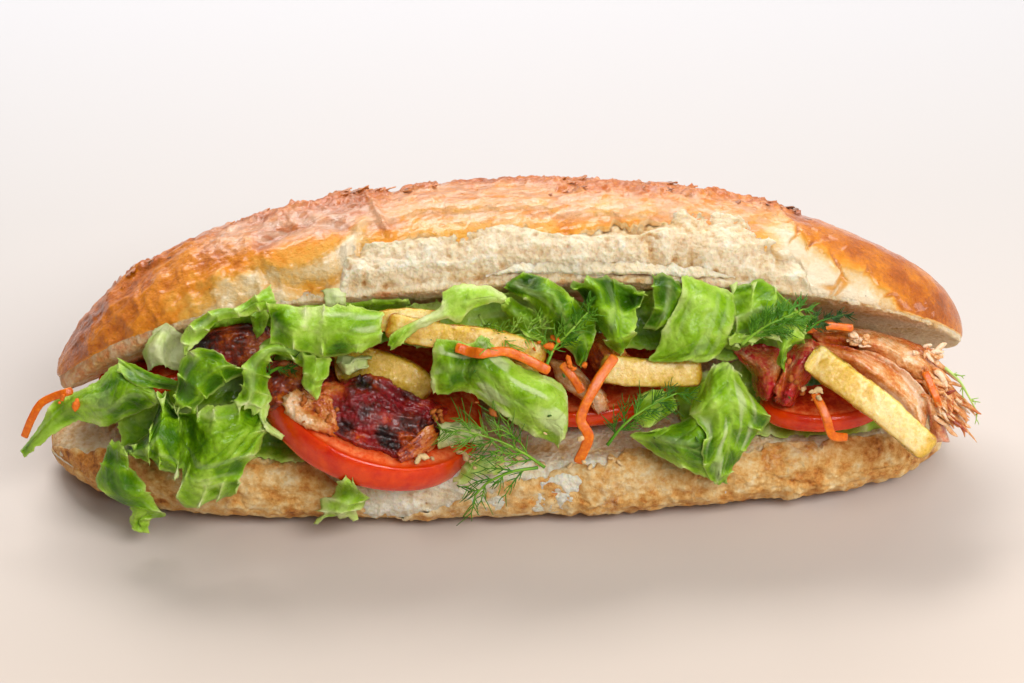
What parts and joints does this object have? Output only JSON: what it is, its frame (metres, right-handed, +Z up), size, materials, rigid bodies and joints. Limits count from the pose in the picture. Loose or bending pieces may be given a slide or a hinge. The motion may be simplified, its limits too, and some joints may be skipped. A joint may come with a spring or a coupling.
{
  "type": "filled sandwich roll",
  "caption": "Long crusty roll, hinged at the back and open along the front, filled with lettuce, chips, roast chicken, tomato slices and carrot shreds.",
  "frame": {"origin": "middle of the flat underside of the roll's lower half, where it stands", "axes": "+X along the roll, +Y towards its hinged back, +Z up; the open mouth faces -Y and up"},
  "size_m": [0.2914, 0.0996, 0.0931],
  "materials": {
    "crust": "baked crust, satin, golden brown over pale crumb",
    "lettuce": "fresh leaf, moist sheen",
    "chicken": "roast meat, glazed and charred in places",
    "tomato": "wet cut fruit",
    "chip": "fried potato, slightly oily",
    "carrot": "raw carrot, moist"
  },
  "bodies": {
    "root": {"back_leaf_left": "lettuce", "back_leaf_middle": "lettuce", "back_leaf_right": "lettuce", "bed_leaf_left": "lettuce", "bed_leaf_right": "lettuce", "bread_roll": "crust", "broad_leaf": "lettuce", "broad_ruffle": "lettuce", "carrot_back": "carrot", "carrot_curl": "carrot", "carrot_hook": "carrot", "carrot_left": "carrot", "carrot_long": "carrot", "carrot_right": "carrot", "carrot_short": "carrot", "chicken_charred": "chicken", "chicken_crisp": "chicken", "chicken_left": "chicken", "chicken_left_back": "chicken", "chicken_middle": "chicken", "chicken_pale_slab": "chicken", "chicken_right_end": "chicken", "chicken_right_shred": "chicken", "chicken_right_slab": "chicken", "chicken_strip": "chicken", "chicken_wing_left": "chicken", "chicken_wing_right": "chicken", "chip_back": "chip", "chip_curved": "chip", "chip_long": "chip", "chip_middle": "chip", "chip_right": "chip", "chip_sliver": "chip", "climbing_band": "lettuce", "corner_leaf": "lettuce", "corner_leaf_roll": "lettuce", "crown_leaf": "lettuce", "curl_leaf": "lettuce", "dill_leaf": "lettuce", "folded_heart_leaf": "lettuce", "green_flap": "lettuce", "hanging_lobe": "lettuce", "hanging_tip": "lettuce", "heart_ruffle": "lettuce", "long_ribbon": "lettuce", "low_frill": "lettuce", "pale_ribbon": "lettuce", "rolled_leaf": "lettuce", "shade_leaf": "lettuce", "side_ribbon": "lettuce", "square_leaf": "lettuce", "striped_leaf": "lettuce", "tomato_slice_front": "tomato", "tomato_slice_left": "tomato", "tomato_slice_middle": "tomato", "tomato_slice_right": "tomato", "tongue_leaf": "lettuce", "wing_leaf": "lettuce"}
  },
  "joints": []
}
